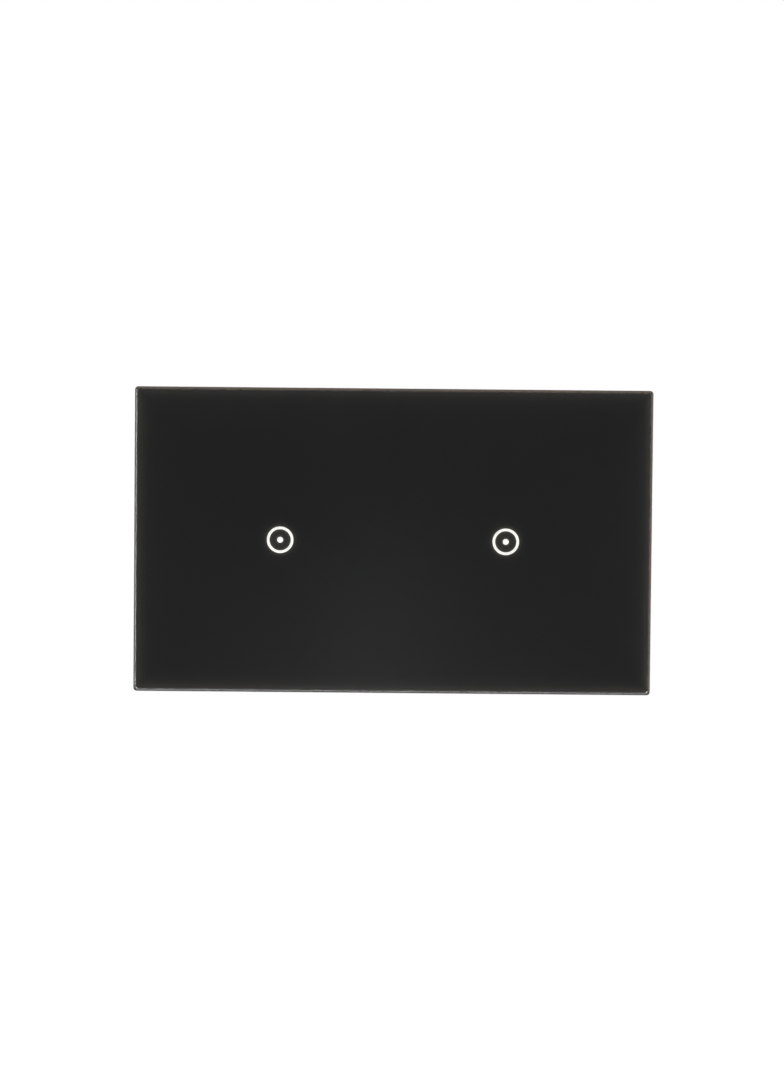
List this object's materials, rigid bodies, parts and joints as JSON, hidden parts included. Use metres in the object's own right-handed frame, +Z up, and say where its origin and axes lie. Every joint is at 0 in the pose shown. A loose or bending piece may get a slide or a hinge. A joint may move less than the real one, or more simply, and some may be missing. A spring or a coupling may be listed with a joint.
{
  "type": "touch light switch",
  "caption": "Flush wall touch switch with a bevelled black glass face, ring-and-dot touch points, a clip-on frame, a steel plate and relay modules behind.",
  "frame": {"origin": "centre of the mounting plate's back face, on the wall's surface", "axes": "+X to the viewer's right, +Z up, and +Y into the wall, so the glass faces -Y"},
  "size_m": [0.146, 0.0364, 0.086],
  "materials": {
    "face_glass": "clear polished glass, 4 mm, bevelled edge",
    "black_print": "opaque black screen print on the back of the glass",
    "foam_tape": "black double-sided foam tape",
    "frame_plastic": "fine moulded texture, black",
    "plate_steel": "zinc-plated sheet steel",
    "screw_steel": "bright zinc-plated steel",
    "screw_brass": "bare brass",
    "housing_plastic": "pale grey heat-resistant moulding, fine texture",
    "cover_plastic": "black moulding",
    "sensor_laminate": "green circuit board laminate",
    "power_laminate": "green circuit board laminate",
    "diffuser_white": "milky white light diffuser",
    "spring_steel": "plated spring wire",
    "lamp_resin": "clear resin over white housing",
    "header_plastic": "black header with plated pins",
    "relay_plastic": "black relay base",
    "relay_cover": "dark blue relay case",
    "coil_copper": "enamelled copper winding on a bobbin",
    "relay_iron": "nickel-plated iron",
    "contact_bronze": "bronze leaf with silver button",
    "capacitor_sleeve": "shrink sleeve, dark",
    "surge_coating": "blue epoxy coating",
    "film_case": "yellow moulded case",
    "terminal_brass": "stamped brass",
    "clamp_steel": "plated steel cage"
  },
  "bodies": {
    "base": {"mounting_plate": "plate_steel", "left_rear_housing": "housing_plastic", "left_front_cover": "cover_plastic", "left_sensor_board": "sensor_laminate", "left_symbol_diffuser": "diffuser_white", "left_touch_spring": "spring_steel", "left_indicator_leds": "lamp_resin", "left_board_header": "header_plastic", "left_power_board": "power_laminate", "left_relay_base": "relay_plastic", "left_relay_case": "relay_cover", "left_relay_coil": "coil_copper", "left_relay_yoke": "relay_iron", "left_relay_contact": "contact_bronze", "left_storage_capacitor": "capacitor_sleeve", "left_surge_disc": "surge_coating", "left_film_capacitor": "film_case", "left_terminal_bars": "terminal_brass", "left_flange_screws": "screw_steel", "right_rear_housing": "housing_plastic", "right_front_cover": "cover_plastic", "right_sensor_board": "sensor_laminate", "right_symbol_diffuser": "diffuser_white", "right_touch_spring": "spring_steel", "right_indicator_leds": "lamp_resin", "right_board_header": "header_plastic", "right_power_board": "power_laminate", "right_relay_base": "relay_plastic", "right_relay_case": "relay_cover", "right_relay_coil": "coil_copper", "right_relay_yoke": "relay_iron", "right_relay_contact": "contact_bronze", "right_storage_capacitor": "capacitor_sleeve", "right_surge_disc": "surge_coating", "right_film_capacitor": "film_case", "right_terminal_bars": "terminal_brass", "right_flange_screws": "screw_steel"},
    "front_panel": {"glass_panel": "face_glass", "symbol_mask": "black_print", "bonding_tape": "foam_tape", "front_frame": "frame_plastic"},
    "left_wall_washer": {"left_wall_washer": "screw_steel"},
    "left_wall_screw": {"left_wall_screw": "screw_steel"},
    "right_wall_washer": {"right_wall_washer": "screw_steel"},
    "right_wall_screw": {"right_wall_screw": "screw_steel"},
    "earth_washer": {"earth_washer": "screw_brass"},
    "earth_screw": {"earth_screw": "screw_brass"},
    "left_line_clamp": {"left_line_clamp": "clamp_steel"},
    "left_line_screw": {"left_line_screw": "screw_steel"},
    "left_load_clamp": {"left_load_clamp": "clamp_steel"},
    "left_load_screw": {"left_load_screw": "screw_steel"},
    "left_relay_armature": {"left_relay_armature": "relay_iron", "left_relay_leaf": "contact_bronze"},
    "right_line_clamp": {"right_line_clamp": "clamp_steel"},
    "right_line_screw": {"right_line_screw": "screw_steel"},
    "right_load_clamp": {"right_load_clamp": "clamp_steel"},
    "right_load_screw": {"right_load_screw": "screw_steel"},
    "right_relay_armature": {"right_relay_armature": "relay_iron", "right_relay_leaf": "contact_bronze"}
  },
  "joints": [
    {"name": "panel_lift_off", "type": "slide", "parent": "base", "child": "front_panel", "axis": [0, -1, 0], "range_m": [0, 0.025]},
    {"name": "left_wall_screw_travel", "type": "slide", "parent": "base", "child": "left_wall_washer", "axis": [0, -1, 0], "range_m": [0, 0.0024]},
    {"name": "left_wall_screw_turn", "type": "hinge", "parent": "left_wall_washer", "child": "left_wall_screw", "pos_m": [-0.0603, -0.0017, 0], "axis": [0, -1, 0], "range_deg": [0, 1440]},
    {"name": "right_wall_screw_travel", "type": "slide", "parent": "base", "child": "right_wall_washer", "axis": [0, -1, 0], "range_m": [0, 0.0024]},
    {"name": "right_wall_screw_turn", "type": "hinge", "parent": "right_wall_washer", "child": "right_wall_screw", "pos_m": [0.0603, -0.0017, 0], "axis": [0, -1, 0], "range_deg": [0, 1440]},
    {"name": "earth_screw_travel", "type": "slide", "parent": "base", "child": "earth_washer", "axis": [0, 1, 0], "range_m": [0, 0.0024]},
    {"name": "earth_screw_turn", "type": "hinge", "parent": "earth_washer", "child": "earth_screw", "pos_m": [0, 0.0047, -0.0093], "axis": [0, 1, 0], "range_deg": [0, 1440]},
    {"name": "left_line_clamp_slide", "type": "slide", "parent": "base", "child": "left_line_clamp", "axis": [0, 1, 0], "range_m": [0, 0.003]},
    {"name": "left_line_screw_turn", "type": "hinge", "parent": "base", "child": "left_line_screw", "pos_m": [-0.0389, 0.022, -0.019], "axis": [0, 1, 0], "range_deg": [-1800, 0]},
    {"name": "left_load_clamp_slide", "type": "slide", "parent": "base", "child": "left_load_clamp", "axis": [0, 1, 0], "range_m": [0, 0.003]},
    {"name": "left_load_screw_turn", "type": "hinge", "parent": "base", "child": "left_load_screw", "pos_m": [-0.0249, 0.022, -0.019], "axis": [0, 1, 0], "range_deg": [-1800, 0]},
    {"name": "left_relay_armature_rock", "type": "hinge", "parent": "base", "child": "left_relay_armature", "pos_m": [-0.0346, 0.01695, 0.0144], "axis": [0, 0, 1], "range_deg": [0, 3.5], "stiffness_Nm_per_rad": 0.02},
    {"name": "right_line_clamp_slide", "type": "slide", "parent": "base", "child": "right_line_clamp", "axis": [0, 1, 0], "range_m": [0, 0.003]},
    {"name": "right_line_screw_turn", "type": "hinge", "parent": "base", "child": "right_line_screw", "pos_m": [0.0249, 0.022, -0.019], "axis": [0, 1, 0], "range_deg": [-1800, 0]},
    {"name": "right_load_clamp_slide", "type": "slide", "parent": "base", "child": "right_load_clamp", "axis": [0, 1, 0], "range_m": [0, 0.003]},
    {"name": "right_load_screw_turn", "type": "hinge", "parent": "base", "child": "right_load_screw", "pos_m": [0.0389, 0.022, -0.019], "axis": [0, 1, 0], "range_deg": [-1800, 0]},
    {"name": "right_relay_armature_rock", "type": "hinge", "parent": "base", "child": "right_relay_armature", "pos_m": [0.0292, 0.01695, 0.0144], "axis": [0, 0, 1], "range_deg": [0, 3.5], "stiffness_Nm_per_rad": 0.02}
  ],
  "couplings": [
    {"joint": "left_wall_screw_turn", "follows": "left_wall_screw_travel", "rad_per_m": 10472},
    {"joint": "right_wall_screw_turn", "follows": "right_wall_screw_travel", "rad_per_m": 10472},
    {"joint": "earth_screw_turn", "follows": "earth_screw_travel", "rad_per_m": 10472},
    {"joint": "left_line_screw_turn", "follows": "left_line_clamp_slide", "rad_per_m": -10472},
    {"joint": "left_load_screw_turn", "follows": "left_load_clamp_slide", "rad_per_m": -10472},
    {"joint": "right_line_screw_turn", "follows": "right_line_clamp_slide", "rad_per_m": -10472},
    {"joint": "right_load_screw_turn", "follows": "right_load_clamp_slide", "rad_per_m": -10472}
  ]
}
